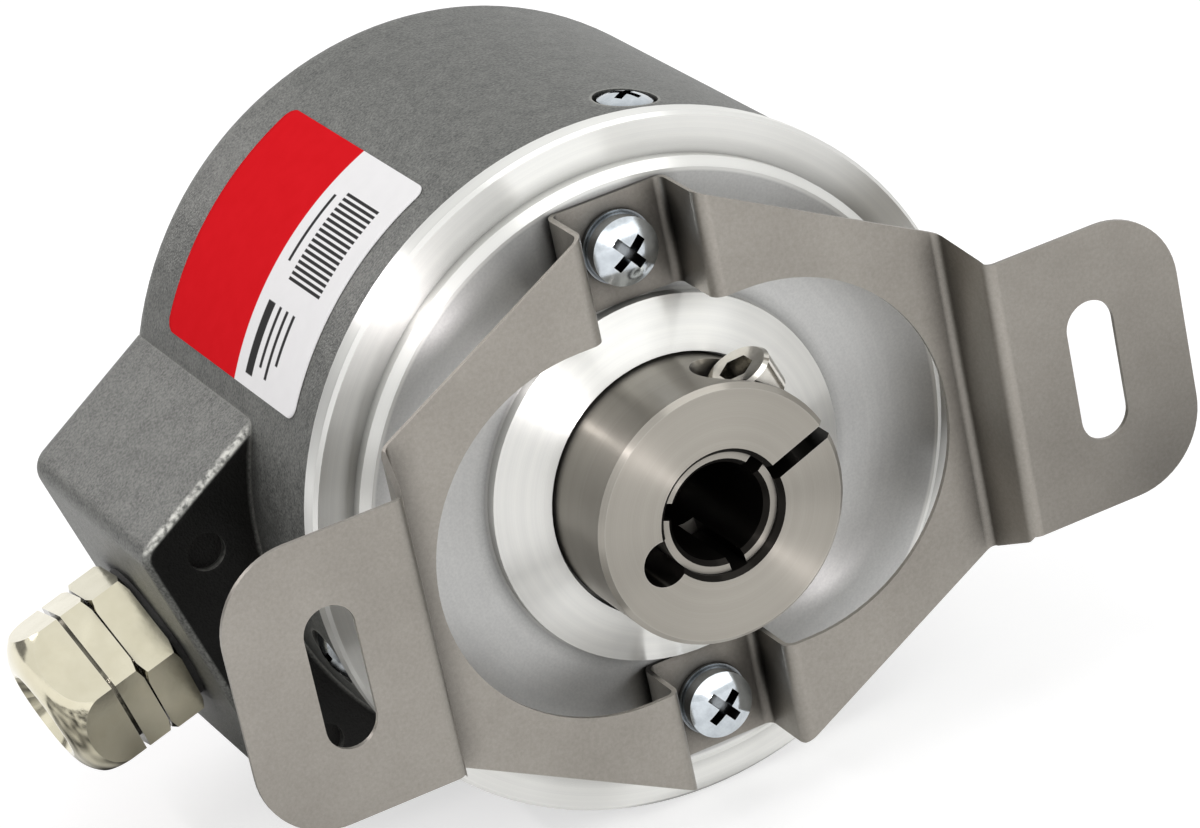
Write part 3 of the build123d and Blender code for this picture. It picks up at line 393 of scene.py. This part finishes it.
def rolled_metal(name, dark, light, roughness, depth, edge_colour, edge_gain=1.2):
    """Punched from rolled sheet, satin, with a brighter cut edge."""
    material, tree, shader = start_finish(name, {"Metallic": 1.0})
    grain = use(tree, rolled_grain, {"Streak": 0.00016, "Speckle": 0.0003})
    edges = use(tree, bright_edges, {"Reach": 0.00025, "Gain": edge_gain})["Mask"]
    smear = use(tree, handled_film, {"Size": 0.012})["Smear"]
    colour = blend(tree, ramp(tree, grain["Tone"], 0.32, 0.68), dark, light)
    # Painted shade in corners and crevices.
    colour = shaded_in_crevices(tree, blend(tree, edges, colour, edge_colour), 0.9, 0.003, 2.0)
    bump = add(tree, "Bump", {"Height": grain["Height"], "Distance": depth, "Strength": 1.0})
    rough = around(tree, smear, roughness, 0.05)
    feed(tree, shader, {"Base Color": colour, "Roughness": rough, "Normal": bump.outputs[0]})
    return material


def cast_metal(name):
    """The die-cast cup: shot-blasted grey skin, paler where edges are rubbed. The flat front of the cable
    boss gets painted shade, near black, and the upward-facing lip round it a painted highlight."""
    material, tree, shader = start_finish(name, {"Metallic": 0.82})
    skin = use(tree, blasted_skin, {"Grain": 0.00022, "Patch": 0.0016})
    edges = use(tree, bright_edges, {"Reach": 0.0006, "Gain": 2.6})["Mask"]
    colour = blend(tree, ramp(tree, skin["Tone"], 0.36, 0.64), paint(80, 81, 79), paint(130, 131, 127))
    colour = blend(tree, calc(tree, "MULTIPLY", edges, 0.7), colour, paint(190, 190, 183))
    place = add(tree, "SeparateXYZ", {0: object_place(tree)})
    normal = add(tree, "SeparateXYZ", {0: add(tree, "TexCoord").outputs["Normal"]})
    outside = ramp(tree, axis_distance(tree), *BOSS_OUTSIDE)
    facing = ramp(tree, normal.outputs[1], -0.9, -0.98)
    ahead = ramp(tree, place.outputs[1], *BOSS_AHEAD)
    past_front = ramp(tree, place.outputs[1], *BOSS_PAST_FRONT)
    boss_front = calc(tree, "MULTIPLY", outside, calc(tree, "MULTIPLY", ahead, past_front))
    # Painted shade: the boss's flat front, facing forward, darkened to near black.
    boss_front_painted_shade = calc(tree, "MULTIPLY", boss_front, facing)
    # Painted highlight: the upward-facing lip round the boss's front, broken by noise.
    upward = ramp(tree, normal.outputs[2], 0.2, 0.45)
    lip = calc(tree, "MULTIPLY", calc(tree, "MULTIPLY", boss_front, upward),
               ramp(tree, place.outputs[1], *BOSS_LIP))
    broken = ramp(tree, noise(tree, object_place(tree), 0.0005, 3.0), 0.36, 0.60)
    lip = calc(tree, "MULTIPLY", lip, broken)
    colour = blend(tree, calc(tree, "MULTIPLY", lip, 0.7), colour, paint(225, 225, 218))
    colour = blend(tree, calc(tree, "MULTIPLY", boss_front_painted_shade, 0.97), colour, paint(20, 20, 19))
    # Painted shade in corners and crevices.
    colour = shaded_in_crevices(tree, colour, 0.6, 0.0025)
    bump = add(tree, "Bump", {"Height": skin["Height"], "Distance": 0.00006, "Strength": 0.9})
    feed(tree, shader, {"Base Color": colour, "Roughness": around(tree, skin["Tone"], 0.5, 0.12),
                        "Normal": bump.outputs[0]})
    return material


def plated_metal(name, dark, light, roughness, ripple, size=0.0012, edge_gain=1.0, soil=0.85):
    """Plated or ground smooth: a faint ripple and cloudy tone, with brighter edges."""
    material, tree, shader = start_finish(name, {"Metallic": 1.0})
    place = object_place(tree)
    clouds = noise(tree, place, size, 3.0, 0.6)
    fine = noise(tree, place, size / 7.0, 2.0)
    edges = use(tree, bright_edges, {"Reach": 0.00015, "Gain": edge_gain})["Mask"]
    smear = use(tree, handled_film, {"Size": 0.003})["Smear"]
    colour = blend(tree, ramp(tree, clouds, 0.3, 0.7), dark, light)
    colour = blend(tree, calc(tree, "MULTIPLY", edges, 0.5), colour, (0.92, 0.91, 0.88, 1.0))
    # Painted shade in corners and crevices.
    colour = shaded_in_crevices(tree, colour, soil, 0.0012, 1.8)
    height = calc(tree, "MULTIPLY_ADD", fine, 0.25, clouds)
    bump = add(tree, "Bump", {"Height": height, "Distance": ripple, "Strength": 1.0})
    feed(tree, shader, {"Base Color": colour, "Roughness": around(tree, smear, roughness, 0.06),
                        "Normal": bump.outputs[0]})
    return material


def moulded(name, dark, light, roughness, depth, coat=0.0):
    """Rubber or moulded plastic: a fine matt grain and slight clouding."""
    material, tree, shader = start_finish(name, {"Metallic": 0.0, "Coat Roughness": 0.25})
    skin = use(tree, blasted_skin, {"Grain": 0.00022, "Patch": 0.003})
    colour = blend(tree, ramp(tree, skin["Tone"], 0.35, 0.65), dark, light)
    bump = add(tree, "Bump", {"Height": skin["Height"], "Distance": depth, "Strength": 0.8})
    feed(tree, shader, {"Base Color": colour, "Roughness": around(tree, skin["Tone"], roughness, 0.08),
                        "Coat Weight": coat, "Normal": bump.outputs[0]})
    return material


def clear_material(name, tint, dusted, roughness, ior):
    """Glass or clear resin with a trace of haze."""
    values = {"Metallic": 0.0, "Transmission Weight": 1.0, "IOR": ior}
    material, tree, shader = start_finish(name, values)
    haze = noise(tree, object_place(tree), 0.0015, 3.0)
    colour = blend(tree, ramp(tree, haze, 0.35, 0.75), tint, dusted)
    feed(tree, shader, {"Base Color": colour, "Roughness": around(tree, haze, roughness, 0.03)})
    return material


def lined_glass(name):
    """The code disc: clear glass with a ring of radial opaque lines, from the angle round the axis."""
    material, tree, shader = start_finish(name, {"Metallic": 0.0, "Transmission Weight": 1.0, "IOR": 1.5})
    place = object_place(tree)
    parts = add(tree, "SeparateXYZ", {0: place})
    angle = calc(tree, "ARCTAN2", parts.outputs[2], parts.outputs[0])
    reach = axis_distance(tree)
    wave = calc(tree, "SINE", calc(tree, "MULTIPLY", angle, LINE_PAIRS))
    lines = calc(tree, "GREATER_THAN", wave, 0.0)
    ring = calc(tree, "MULTIPLY", ramp(tree, reach, *TRACK_START), ramp(tree, reach, *TRACK_END))
    opaque = calc(tree, "MULTIPLY", lines, ring)
    colour = blend(tree, opaque, (0.96, 0.98, 0.97, 1.0), (0.02, 0.02, 0.025, 1.0))
    haze = noise(tree, place, 0.002, 2.0)
    feed(tree, shader, {"Base Color": colour, "Roughness": around(tree, haze, 0.05, 0.03)})
    return material


def printed_board(name):
    """Green solder mask over copper tracks, where tracks come from the edges of square cells."""
    material, tree, shader = start_finish(name, {"Metallic": 0.0, "Coat Roughness": 0.2})
    place = object_place(tree)
    cells = add(tree, "TexVoronoi", {"Vector": place, "Scale": TRACK_CELLS, "Randomness": 0.35},
                distance="CHEBYCHEV", feature="DISTANCE_TO_EDGE").outputs[0]
    tracks = ramp(tree, cells, 0.07, 0.05)
    weave = noise(tree, place, 0.0004, 2.0)
    mask = blend(tree, ramp(tree, weave, 0.3, 0.7), paint(18, 70, 40), paint(28, 92, 54))
    colour = blend(tree, tracks, mask, paint(46, 128, 78))
    height = calc(tree, "MULTIPLY_ADD", tracks, 1.0, calc(tree, "MULTIPLY", weave, 0.2))
    bump = add(tree, "Bump", {"Height": height, "Distance": 0.00004, "Strength": 0.7})
    feed(tree, shader, {"Base Color": colour, "Roughness": around(tree, weave, 0.4, 0.06),
                        "Coat Weight": 0.3, "Normal": bump.outputs[0]})
    return material


finishes = {
    "cast_aluminium": cast_metal("blasted_casting"),
    "turned_aluminium": turned_metal(
        "turned_flange", paint(224, 224, 221), paint(232, 232, 228), roughness=0.34, lean=0.05,
        band_lean=0.01, soil=0.6, drawn_out=0.97, shaded_ring=FLANGE_FACE),
    "spring_steel": rolled_metal(
        "satin_spring_sheet", paint(137, 133, 126), paint(156, 152, 145), roughness=0.42,
        depth=0.0000035, edge_colour=paint(160, 156, 148), edge_gain=0.5),
    "stainless_steel": turned_metal(
        "satin_turned_hub", paint(150, 146, 138), paint(162, 158, 150), roughness=0.31, lean=0.05,
        band_lean=0.004, pitch=0.00005, band_pitch=0.0009, inside=0.985, drawn_out=0.95),
    "stainless_screw": plated_metal(
        "bright_cap_screw", paint(196, 192, 184), paint(212, 209, 201), roughness=0.14,
        ripple=0.000003),
    "zinc_screws": plated_metal(
        "blue_zinc_screws", paint(186, 193, 199), paint(208, 215, 220), roughness=0.15,
        ripple=0.000004, size=0.0009, soil=1.0),
    "bearing_steel": turned_metal(
        "ground_bearing_rings", paint(176, 178, 180), paint(206, 208, 210), roughness=0.15,
        lean=0.05, band_lean=0.01),
    "ball_steel": plated_metal(
        "polished_balls", paint(206, 208, 210), paint(226, 228, 230), roughness=0.06,
        ripple=0.0000008),
    "cage_brass": turned_metal(
        "brass_cages", paint(176, 148, 82), paint(208, 180, 108), roughness=0.28, lean=0.08,
        band_lean=0.02),
    "pressed_steel": rolled_metal(
        "pressed_shields", paint(170, 170, 168), paint(200, 200, 198), roughness=0.28,
        depth=0.000003, edge_colour=paint(220, 220, 216)),
    "spacer_steel": turned_metal(
        "turned_spacers", paint(168, 168, 165), paint(196, 196, 192), roughness=0.25, lean=0.1,
        band_lean=0.02),
    "clip_steel": rolled_metal(
        "phosphated_clips", paint(52, 52, 50), paint(74, 73, 70), roughness=0.42, depth=0.000004,
        edge_colour=paint(120, 118, 112)),
    "black_rubber": moulded(
        "black_seal_rubber", (0.012, 0.012, 0.012, 1.0), (0.03, 0.03, 0.029, 1.0), roughness=0.55,
        depth=0.00002),
    "gasket_rubber": moulded(
        "gasket_rubber", (0.02, 0.02, 0.019, 1.0), (0.045, 0.045, 0.042, 1.0), roughness=0.62,
        depth=0.00003),
    "nickel_brass": plated_metal(
        "nickelled_gland", paint(212, 206, 182), paint(223, 218, 196), roughness=0.14,
        ripple=0.000010, size=0.004, edge_gain=1.2),
    "plated_brass": plated_metal(
        "nickelled_spacers", paint(196, 190, 168), paint(220, 215, 196), roughness=0.2,
        ripple=0.00001),
    "hub_aluminium": turned_metal(
        "turned_disc_hub", paint(188, 188, 186), paint(214, 214, 211), roughness=0.27, lean=0.12,
        band_lean=0.03),
    "can_aluminium": rolled_metal(
        "drawn_capacitor_cans", paint(178, 180, 182), paint(206, 208, 210), roughness=0.24,
        depth=0.000003, edge_colour=paint(222, 222, 222)),
    "disc_glass": lined_glass("lined_disc_glass"),
    "mask_glass": clear_material(
        "mask_glass", (0.8, 0.84, 0.82, 1.0), (0.65, 0.7, 0.68, 1.0), roughness=0.06, ior=1.5),
    "clear_resin": clear_material(
        "clear_lamp_resin", (0.93, 0.95, 0.99, 1.0), (0.82, 0.85, 0.92, 1.0), roughness=0.08,
        ior=1.54),
    "black_plastic": moulded(
        "black_moulding", (0.014, 0.014, 0.015, 1.0), (0.03, 0.03, 0.031, 1.0), roughness=0.42,
        depth=0.00002),
    "black_epoxy": moulded(
        "chip_epoxy", (0.016, 0.016, 0.018, 1.0), (0.034, 0.034, 0.036, 1.0), roughness=0.48,
        depth=0.00002),
    "board_laminate": printed_board("green_board"),
    "terminal_plastic": moulded(
        "green_terminal", (0.02, 0.13, 0.06, 1.0), (0.035, 0.19, 0.09, 1.0), roughness=0.4,
        depth=0.00002, coat=0.15),
}

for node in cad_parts.values():
    for slot in node.material_slots:
        slot.material = finishes[slot.material.name.split(".")[0]]


# The label on the cup

def label_print():
    """Printed film. Across the piece's own map, u runs round the cup and v along it. The rear field
    is red, the front field white with a block of evenly pitched bars and five plain dark rules."""
    material, tree, shader = start_finish("printed_label", {"Metallic": 0.0, "Specular IOR Level": 0.0})
    parts = add(tree, "SeparateXYZ", {0: add(tree, "UVMap", uv_map="label_map").outputs[0]})
    round_cup, along_cup = parts.outputs[0], parts.outputs[1]

    def band(value, low, high, soft=0.002):
        rise = ramp(tree, value, low - soft, low + soft)
        return calc(tree, "MULTIPLY", rise, ramp(tree, value, high + soft, high - soft))

    field_edge = (LABEL_FIELD_EDGE - LABEL_FRONT) / (LABEL_REAR - LABEL_FRONT)
    film = noise(tree, object_place(tree), 0.0016, 3.0)
    red = blend(tree, film, paint(216, 27, 34), paint(224, 32, 40))
    white = blend(tree, film, paint(240, 240, 240), paint(247, 247, 247))
    colour = blend(tree, ramp(tree, along_cup, field_edge - 0.002, field_edge + 0.002), white, red)
    bars_in_full = BAR_COUNT / (BARS_ROUND[1] - BARS_ROUND[0])
    bar_wave = calc(tree, "FRACT", calc(tree, "MULTIPLY", round_cup, bars_in_full))
    bars = band(bar_wave, 0.14, 0.70, 0.05)
    block = calc(tree, "MULTIPLY", band(round_cup, *BARS_ROUND), band(along_cup, *BARS_ALONG))
    ink = calc(tree, "MULTIPLY", bars, block)
    for low, high, start, end in RULES:
        rule = calc(tree, "MULTIPLY", band(along_cup, low, high), band(round_cup, start, end))
        ink = calc(tree, "MAXIMUM", ink, rule)
    colour = blend(tree, calc(tree, "MULTIPLY", ink, 0.96), colour, paint(28, 27, 28))
    height = noise(tree, object_place(tree), 0.0009, 2.0)
    bump = add(tree, "Bump", {"Height": height, "Distance": 0.000006, "Strength": 0.6})
    feed(tree, shader, {"Base Color": colour, "Roughness": around(tree, film, 0.5, 0.05),
                        "Normal": bump.outputs[0]})
    return material


def make_label():
    """A sheet bent round the cup. Its rows run along the cup, at angle a from LABEL_TOP to LABEL_BOTTOM,
    closer together at both ends. A row's half length is the sheet's, less corner - sqrt(corner^2 -
    (way past the corner's start)^2) near an end. A point is (r cos a, y, r sin a)."""
    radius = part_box("rear_cup")[1].z + LABEL_GLUE + LABEL_THICKNESS
    half_length = (LABEL_REAR - LABEL_FRONT) / 2
    half_arc = radians(LABEL_BOTTOM - LABEL_TOP) * radius / 2
    middle_angle = radians((LABEL_TOP + LABEL_BOTTOM) / 2)
    share = np.linspace(-1.0, 1.0, LABEL_ROWS)
    arc = half_arc * np.sin(share * pi / 2)
    past = np.clip(np.abs(arc) - (half_arc - LABEL_CORNER), 0.0, LABEL_CORNER)
    reach = half_length - LABEL_CORNER + np.sqrt(LABEL_CORNER ** 2 - past ** 2)
    along = np.linspace(-1.0, 1.0, LABEL_COLUMNS)[None, :] * reach[:, None]
    arc = np.repeat(arc[:, None], LABEL_COLUMNS, axis=1)
    angle = middle_angle + arc / radius
    middle = (LABEL_REAR + LABEL_FRONT) / 2
    points = np.stack([radius * np.cos(angle), middle + along, radius * np.sin(angle)], axis=-1)
    number = np.arange(LABEL_ROWS * LABEL_COLUMNS).reshape(LABEL_ROWS, LABEL_COLUMNS)
    faces = np.stack([number[:-1, :-1], number[1:, :-1], number[1:, 1:], number[:-1, 1:]], axis=-1)
    faces = faces.reshape(-1, 4)
    mesh = bpy.data.meshes.new("cup_label")
    mesh.from_pydata(points.reshape(-1, 3).tolist(), [], faces.tolist())
    map_u = (arc / half_arc + 1.0) / 2.0
    map_v = (along / half_length + 1.0) / 2.0
    corners = np.stack([map_u.ravel(), map_v.ravel()], axis=-1)[faces.ravel()]
    mesh.uv_layers.new(name="label_map").data.foreach_set("uv", corners.astype(np.float32).ravel())
    mesh.polygons.foreach_set("use_smooth", np.ones(len(faces), bool))
    mesh.update()
    outward = Vector((cos(middle_angle), 0.0, sin(middle_angle)))
    if mesh.polygons[len(faces) // 2].normal.dot(outward) < 0:
        mesh.flip_normals()
    label = bpy.data.objects.new("cup_label", mesh)
    bpy.context.scene.collection.objects.link(label)
    wall = label.modifiers.new("film", "SOLIDIFY")
    wall.thickness = LABEL_THICKNESS
    wall.offset = -1.0
    mesh.materials.append(label_print())
    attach(label, "housing")


make_label()


# Studio: floor, surroundings, lights and camera

def seen_directly(tree):
    """1 for the camera's own rays and for those in metal and glass, 0 for diffuse light."""
    rays = add(tree, "LightPath")
    seen = calc(tree, "ADD", rays.outputs["Is Camera Ray"], rays.outputs["Is Glossy Ray"])
    return calc(tree, "ADD", seen, rays.outputs["Is Transmission Ray"], clamp=True)


def flat_sheet(name, half_length, half_width, level=0.0):
    """A level rectangle: x runs from -half_length to half_length, y from -half_width to half_width."""
    x, y = half_length, half_width
    mesh = bpy.data.meshes.new(name)
    mesh.from_pydata([(-x, -y, level), (x, -y, level), (x, y, level), (-x, y, level)], [], [(0, 1, 2, 3)])
    return mesh


def make_floor():
    """A pale level floor under the object. To the camera, and in reflections, it adds a little light of
    its own, so that it reads white and still keeps the object's soft shadow."""
    mesh = flat_sheet("studio_floor", FLOOR_HALF, FLOOR_HALF, cad_low.z - FLOOR_GAP)
    floor = bpy.data.objects.new("studio_floor", mesh)
    bpy.context.scene.collection.objects.link(floor)
    material, tree, shader = start_finish("pale_floor", {"Roughness": 0.9, "Specular IOR Level": 0.1})
    clouds = noise(tree, object_place(tree), 0.3, 2.0)
    colour = blend(tree, clouds, (0.58, 0.58, 0.58, 1.0), (0.61, 0.61, 0.61, 1.0))
    feed(tree, shader, {"Base Color": colour, "Emission Color": (1.0, 1.0, 1.0, 1.0),
                        "Emission Strength": calc(tree, "MULTIPLY", seen_directly(tree), 0.58)})
    mesh.materials.append(material)


def make_surroundings():
    """White to the camera and in reflections, softer for diffuse light."""
    world = bpy.data.worlds.new("studio_white")
    bpy.context.scene.world = world
    world.use_nodes = True
    tree = world.node_tree
    tree.nodes.clear()
    strength = ramp(tree, seen_directly(tree), 0.0, 1.0, 0.55, 1.0)
    light = add(tree, "Background", {"Color": (1.0, 1.0, 1.0, 1.0), "Strength": strength})
    ending = add(tree, "OutputWorld")
    tree.links.new(light.outputs[0], ending.inputs[0])


def aimed(direction, distance, long_way):
    """The place of a flat thing that faces the object from that direction, its X along long_way."""
    back = Vector(direction).normalized()
    side = Vector(long_way)
    side = (side - side.dot(back) * back).normalized()
    turn = Matrix((side, back.cross(side), back)).transposed().to_4x4()
    return Matrix.Translation(back * distance) @ turn


def softbox(name, direction, distance, long_way, length, width, radiance, tint=(1.0, 1.0, 1.0)):
    """A rectangular light aimed at the object. Its power is radiance x pi x area."""
    lamp = bpy.data.lights.new(name, "AREA")
    lamp.color = tint
    lamp.shape = "RECTANGLE"
    lamp.size = length
    lamp.size_y = width
    lamp.energy = radiance * pi * length * width
    light = bpy.data.objects.new(name, lamp)
    light.matrix_world = aimed(direction, distance, long_way)
    bpy.context.scene.collection.objects.link(light)


def reflected_card(name, place, length, width, pale):
    """A near-black card with patches of a paler tone, seen only in reflections: a painted dark reflection in
    the metal.
    """
    mesh = flat_sheet(name, length / 2, width / 2)
    card = bpy.data.objects.new(name, mesh)
    card.matrix_world = place
    bpy.context.scene.collection.objects.link(card)
    card.visible_camera = False
    card.visible_diffuse = False
    card.visible_shadow = False
    material, tree, shader = start_finish(name + "_cloth", {"Roughness": 1.0, "Specular IOR Level": 0.0})
    patches = ramp(tree, noise(tree, object_place(tree), 0.009, 1.0), 0.36, 0.64)
    feed(tree, shader, {"Base Color": blend(tree, patches, (0.04, 0.04, 0.04, 1.0), pale)})
    mesh.materials.append(material)


def on_arc(angle):
    """A direction in the plane of the shaft axis and ARC_SIDE: 0 is along ARC_SIDE, 90 straight in front."""
    return ARC_SIDE * cos(radians(angle)) + FORWARD * sin(radians(angle))


def light_the_studio():
    """Narrow softboxes lie along one arc, so that turned faces and turned rims share one bright ray.
    A box overhead lights what faces up, and a long one in front what faces forward. Cards seen only in
    reflections paint dark reflections into the metal: one on the floor at the right, one under the cable boss
    that stands in for the shade beneath it, and one behind on the left."""
    for name, angle, length, width, radiance in STRIPS:
        softbox(name, on_arc(angle), STRIP_DISTANCE, on_arc(angle + 90.0), length, width, radiance,
                STRIP_TINT)
    sideways = (1.0, 0.0, 0.0)
    softbox("overhead_box", (0.3, -0.25, 0.9), distance=0.9, long_way=sideways, length=0.7,
            width=0.4, radiance=2.0)
    softbox("key_box", (0.18, -0.85, 0.29), distance=0.8, long_way=sideways, length=1.20,
            width=0.28, radiance=1.2)
    # Painted dark reflection: a card on the floor at the right, seen only in reflections.
    at_right = Matrix.Translation((0.068, -0.032, cad_low.z + CARD_LIFT))
    reflected_card("card_at_right", at_right, length=0.050, width=0.050, pale=(0.08, 0.08, 0.08, 1.0))
    # Painted dark reflection: a card behind on the left, seen only in reflections.
    behind = aimed((-0.5, 0.85, 0.05), 0.5, sideways)
    reflected_card("card_behind", behind, length=0.34, width=0.26, pale=(0.55, 0.55, 0.55, 1.0))
    # Painted shade: a dark, patchy card under the cable boss, seen only in reflections, stands in for the
    # shade beneath the boss.
    under_boss = Matrix.Translation((-0.061, 0.002, cad_low.z + CARD_LIFT))
    reflected_card("shade_card_under_boss", under_boss, length=0.074, width=0.084, pale=(0.9, 0.9, 0.88, 1.0))


def make_camera():
    """The photograph's own viewpoint, lens and slight roll."""
    lens = bpy.data.cameras.new("photo_view")
    lens.lens = 157.93
    lens.sensor_width = 36.0
    lens.clip_start = 0.01
    lens.clip_end = 20.0
    camera = bpy.data.objects.new("photo_view", lens)
    right = Vector((0.87440, -0.44569, -0.19177))
    up = Vector((0.34509, 0.29343, 0.89152))
    back = Vector((-0.34107, -0.84573, 0.41038))
    place = Vector((-0.14374, -0.34812, 0.17494))
    turn = Matrix((right, up, back)).transposed().to_4x4()
    camera.matrix_world = Matrix.Translation(place) @ turn
    bpy.context.scene.collection.objects.link(camera)
    bpy.context.scene.camera = camera


make_floor()
make_surroundings()
light_the_studio()
make_camera()
bpy.context.scene.view_settings.view_transform = "Standard"
